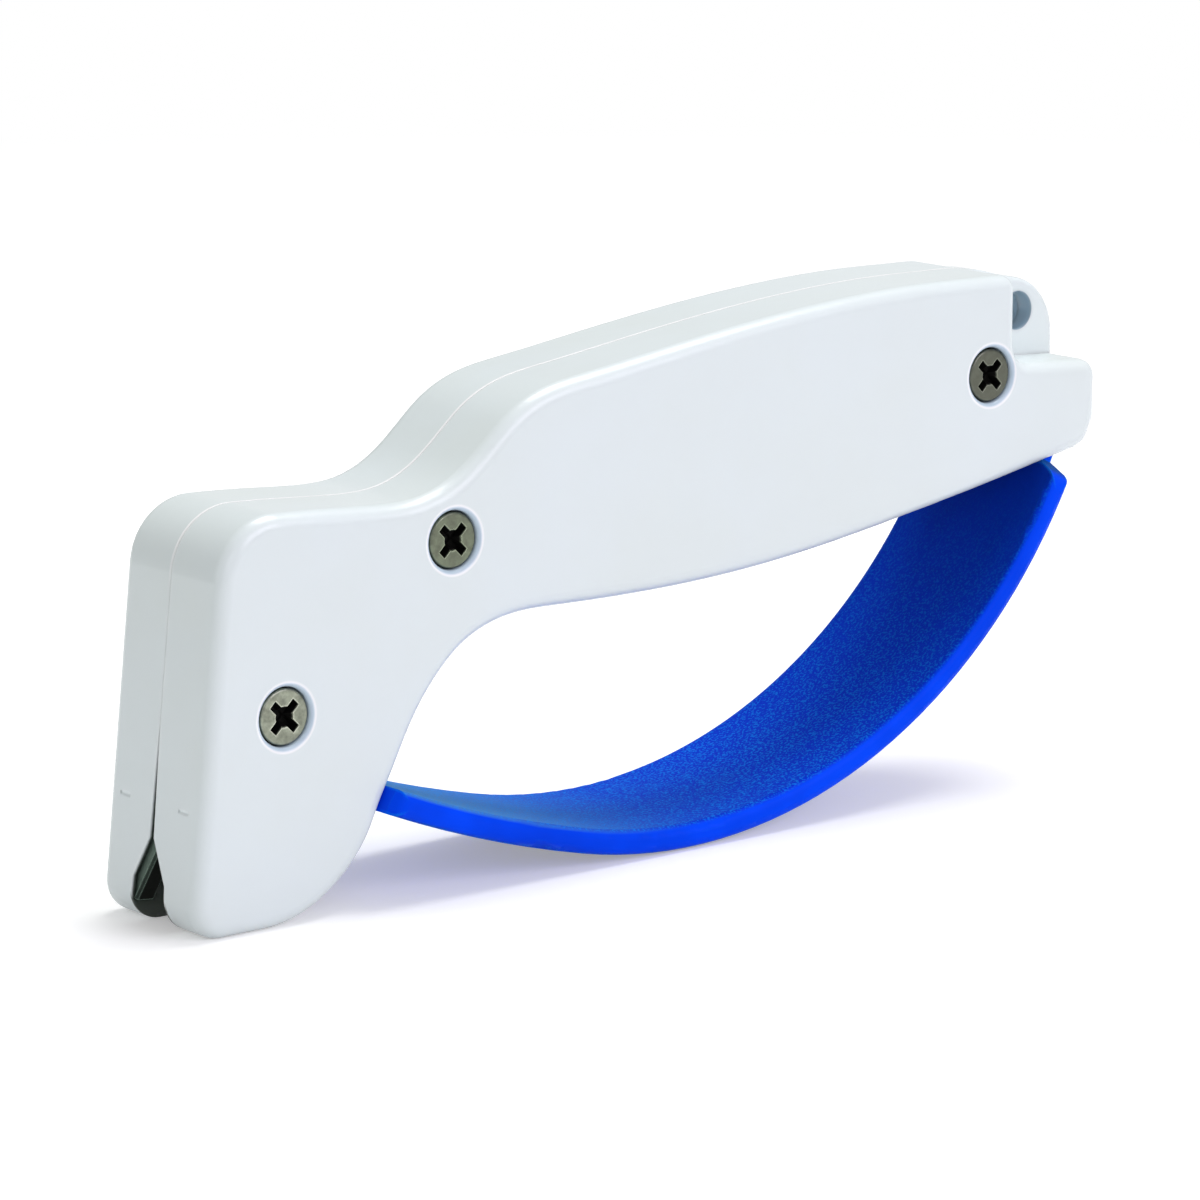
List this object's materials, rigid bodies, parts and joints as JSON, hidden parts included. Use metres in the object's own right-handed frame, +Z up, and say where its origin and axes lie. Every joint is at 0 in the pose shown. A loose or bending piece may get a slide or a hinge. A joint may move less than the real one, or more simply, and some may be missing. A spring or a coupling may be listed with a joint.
{
  "type": "pull-through knife sharpener",
  "caption": "Hand-held pull-through knife sharpener: pistol-like moulded handle, blade slot in the head, curved finger guard under the grip and a hang tab.",
  "frame": {"origin": "centre of the bounding box on the ground plane, with the sharpener standing on its head's foot and its guard", "axes": "X along the handle with the head at -X and the hang tab at +X, Y across the two halves, +Z up"},
  "size_m": [0.1442, 0.025, 0.0668],
  "materials": {
    "shell_plastic": "white glossy moulding",
    "guard_plastic": "blue moulding with a fine grain",
    "carbide": "ground dark carbide",
    "screw_metal": "nickel plated",
    "insert_brass": "turned brass"
  },
  "bodies": {
    "root": {"near_shell": "shell_plastic", "far_shell": "shell_plastic", "finger_guard": "guard_plastic", "front_blade": "carbide", "rear_blade": "carbide", "front_screw": "screw_metal", "neck_screw": "screw_metal", "tail_screw": "screw_metal", "front_insert": "insert_brass", "neck_insert": "insert_brass", "tail_insert": "insert_brass"}
  },
  "joints": []
}
